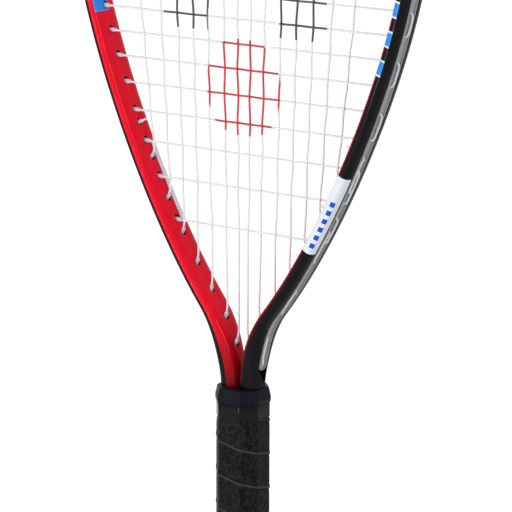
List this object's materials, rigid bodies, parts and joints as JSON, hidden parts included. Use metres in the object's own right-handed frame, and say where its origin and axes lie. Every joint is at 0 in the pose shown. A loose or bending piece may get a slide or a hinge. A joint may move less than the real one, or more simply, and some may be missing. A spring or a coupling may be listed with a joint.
{
  "type": "racquetball racket",
  "caption": "Strung teardrop racket for racquetball: bent tube frame, grommet strips, bumper guard, woven strings and a wrapped octagonal handle.",
  "frame": {"origin": "middle of the butt cap's end face, with the racket standing on its butt", "axes": "+Z along the racket from the butt to the crown, -Y out of the face that the picture shows, +X to the right of that face"},
  "size_m": [0.2434, 0.033, 0.5588],
  "materials": {
    "frame_paint": "glossy red lacquer, black on the outer side and the back",
    "strip_plastic": "satin moulded",
    "bumper_plastic": "satin moulded",
    "string_nylon": "smooth, slightly translucent",
    "pallet_plastic": "moulded",
    "grip_rubber": "matte, slightly worn",
    "tape_vinyl": "glossy vinyl tape",
    "collar_rubber": "satin",
    "cap_plastic": "satin moulded",
    "screw_steel": "zinc plated"
  },
  "bodies": {
    "root": {"frame": "frame_paint", "left_grommet_strip": "strip_plastic", "right_grommet_strip": "strip_plastic", "bumper_guard": "bumper_plastic", "main_string": "string_nylon", "cross_string": "string_nylon", "front_pallet": "pallet_plastic", "back_pallet": "pallet_plastic", "grip_wrap": "grip_rubber", "finishing_tape": "tape_vinyl", "grip_collar": "collar_rubber", "butt_cap": "cap_plastic", "front_cap_screw": "screw_steel", "back_cap_screw": "screw_steel"}
  },
  "joints": []
}
